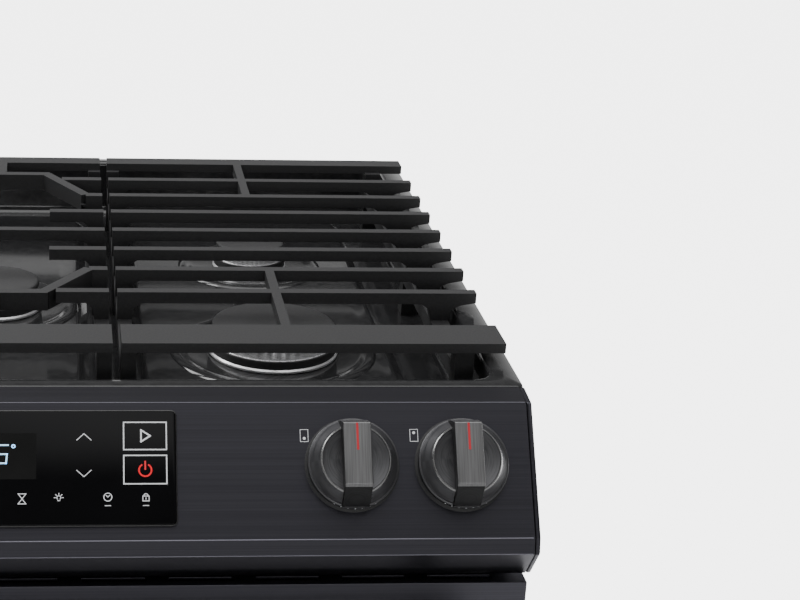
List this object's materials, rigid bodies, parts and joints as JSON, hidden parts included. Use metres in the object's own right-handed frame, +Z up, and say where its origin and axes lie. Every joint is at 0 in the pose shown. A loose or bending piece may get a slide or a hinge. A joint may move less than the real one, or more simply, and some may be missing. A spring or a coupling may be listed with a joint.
{
  "type": "freestanding gas range",
  "caption": "Freestanding gas range with front knobs, a touch panel, cast grates over round burners, an oven with a drop-down door and a storage drawer.",
  "frame": {"origin": "on the floor under the middle of the range", "axes": "+Z up, +Y towards the back wall, +X to the right seen from the front"},
  "size_m": [0.76, 0.732, 0.9284],
  "materials": {
    "black_stainless": "brushed, dark tinted coating",
    "galvanised_steel": "zinc coated, matte",
    "foot_plastic": "matte black",
    "cooktop_enamel": "glossy black enamel",
    "cast_iron": "matte enamelled cast iron",
    "burner_aluminium": "machined",
    "cap_enamel": "matte black enamel",
    "black_glass": "polished black glass",
    "board_plastic": "moulded black",
    "knob_metal": "brushed, dark",
    "steel": "plain steel",
    "rack_chrome": "plated wire",
    "oven_enamel": "speckled dark enamel",
    "lamp_glass": "clear lens",
    "gasket_fibre": "woven glass fibre"
  },
  "bodies": {
    "root": {"side_panel_left": "black_stainless", "side_panel_right": "black_stainless", "back_panel": "galvanised_steel", "base_pan": "galvanised_steel", "levelling_foot_front_left": "foot_plastic", "levelling_foot_front_right": "foot_plastic", "levelling_foot_rear_left": "foot_plastic", "levelling_foot_rear_right": "foot_plastic", "rear_vent_trim": "black_stainless", "cooktop": "cooktop_enamel", "control_panel": "black_stainless", "control_end_cap_left": "black_stainless", "control_end_cap_right": "black_stainless", "touch_panel": "black_glass", "control_board": "board_plastic", "gas_manifold": "steel", "oven_cavity": "oven_enamel", "bake_burner": "steel", "broil_burner": "steel", "fan_cover": "oven_enamel", "fan_motor": "galvanised_steel", "oven_lamp": "lamp_glass", "door_gasket": "gasket_fibre", "hinge_bracket_left": "steel", "hinge_bracket_right": "steel", "burner_head_front_right": "burner_aluminium", "burner_head_front_left": "burner_aluminium", "burner_head_rear_right": "burner_aluminium", "burner_head_rear_left": "burner_aluminium", "burner_head_centre": "burner_aluminium", "burner_cap_front_right": "cap_enamel", "burner_cap_front_left": "cap_enamel", "burner_cap_rear_right": "cap_enamel", "burner_cap_rear_left": "cap_enamel", "burner_cap_centre": "cap_enamel"},
    "oven_door": {"door_outer_panel": "black_stainless", "door_inner_panel": "oven_enamel", "door_glass_outer": "black_glass", "door_glass_inner": "black_glass", "door_handle": "black_stainless", "hinge_arm_left": "steel", "hinge_arm_right": "steel"},
    "drawer": {"drawer_front": "black_stainless", "drawer_box": "galvanised_steel"},
    "rack_lower": {"oven_rack_lower": "rack_chrome"},
    "rack_upper": {"oven_rack_upper": "rack_chrome"},
    "fan": {"convection_fan": "steel"},
    "grate_left": {"grate_left": "cast_iron"},
    "grate_centre": {"grate_centre": "cast_iron"},
    "grate_right": {"grate_right": "cast_iron"},
    "stem_far_left": {"valve_stem_far_left": "steel"},
    "knob_far_left": {"knob_far_left": "knob_metal"},
    "stem_left": {"valve_stem_left": "steel"},
    "knob_left": {"knob_left": "knob_metal"},
    "stem_inner_left": {"valve_stem_inner_left": "steel"},
    "knob_inner_left": {"knob_inner_left": "knob_metal"},
    "stem_right": {"valve_stem_right": "steel"},
    "knob_right": {"knob_right": "knob_metal"},
    "stem_far_right": {"valve_stem_far_right": "steel"},
    "knob_far_right": {"knob_far_right": "knob_metal"}
  },
  "joints": [
    {"name": "push_far_left", "type": "slide", "parent": "root", "child": "stem_far_left", "axis": [0, 0.7986, -0.6018], "range_m": [0, 0.003], "stiffness_N_per_m": 1200, "springref_m": -0.002},
    {"name": "turn_far_left", "type": "hinge", "parent": "stem_far_left", "child": "knob_far_left", "pos_m": [-0.328, -0.28698, 0.87686], "axis": [0, -0.7986, 0.6018], "range_deg": [0, 230]},
    {"name": "push_left", "type": "slide", "parent": "root", "child": "stem_left", "axis": [0, 0.7986, -0.6018], "range_m": [0, 0.003], "stiffness_N_per_m": 1200, "springref_m": -0.002},
    {"name": "turn_left", "type": "hinge", "parent": "stem_left", "child": "knob_left", "pos_m": [-0.252, -0.28698, 0.87686], "axis": [0, -0.7986, 0.6018], "range_deg": [0, 230]},
    {"name": "push_inner_left", "type": "slide", "parent": "root", "child": "stem_inner_left", "axis": [0, 0.7986, -0.6018], "range_m": [0, 0.003], "stiffness_N_per_m": 1200, "springref_m": -0.002},
    {"name": "turn_inner_left", "type": "hinge", "parent": "stem_inner_left", "child": "knob_inner_left", "pos_m": [-0.176, -0.28698, 0.87686], "axis": [0, -0.7986, 0.6018], "range_deg": [0, 230]},
    {"name": "push_right", "type": "slide", "parent": "root", "child": "stem_right", "axis": [0, 0.7986, -0.6018], "range_m": [0, 0.003], "stiffness_N_per_m": 1200, "springref_m": -0.002},
    {"name": "turn_right", "type": "hinge", "parent": "stem_right", "child": "knob_right", "pos_m": [0.252, -0.28698, 0.87686], "axis": [0, -0.7986, 0.6018], "range_deg": [0, 230]},
    {"name": "push_far_right", "type": "slide", "parent": "root", "child": "stem_far_right", "axis": [0, 0.7986, -0.6018], "range_m": [0, 0.003], "stiffness_N_per_m": 1200, "springref_m": -0.002},
    {"name": "turn_far_right", "type": "hinge", "parent": "stem_far_right", "child": "knob_far_right", "pos_m": [0.328, -0.28698, 0.87686], "axis": [0, -0.7986, 0.6018], "range_deg": [0, 230]},
    {"name": "door_hinge", "type": "hinge", "parent": "root", "child": "oven_door", "pos_m": [0, -0.29, 0.24], "axis": [1, 0, 0], "range_deg": [0, 88]},
    {"name": "drawer_slide", "type": "slide", "parent": "root", "child": "drawer", "axis": [0, -1, 0], "range_m": [0, 0.35]},
    {"name": "rack_lower_slide", "type": "slide", "parent": "root", "child": "rack_lower", "axis": [0, -1, 0], "range_m": [0, 0.015]},
    {"name": "rack_upper_slide", "type": "slide", "parent": "root", "child": "rack_upper", "axis": [0, -1, 0], "range_m": [0, 0.015]},
    {"name": "fan_spin", "type": "hinge", "parent": "root", "child": "fan", "pos_m": [0, 0.216, 0.512], "axis": [0, 1, 0], "continuous": true},
    {"name": "lift_grate_left", "type": "slide", "parent": "root", "child": "grate_left", "axis": [0, 0, 1], "range_m": [0, 0.08]},
    {"name": "lift_grate_centre", "type": "slide", "parent": "root", "child": "grate_centre", "axis": [0, 0, 1], "range_m": [0, 0.08]},
    {"name": "lift_grate_right", "type": "slide", "parent": "root", "child": "grate_right", "axis": [0, 0, 1], "range_m": [0, 0.08]}
  ]
}
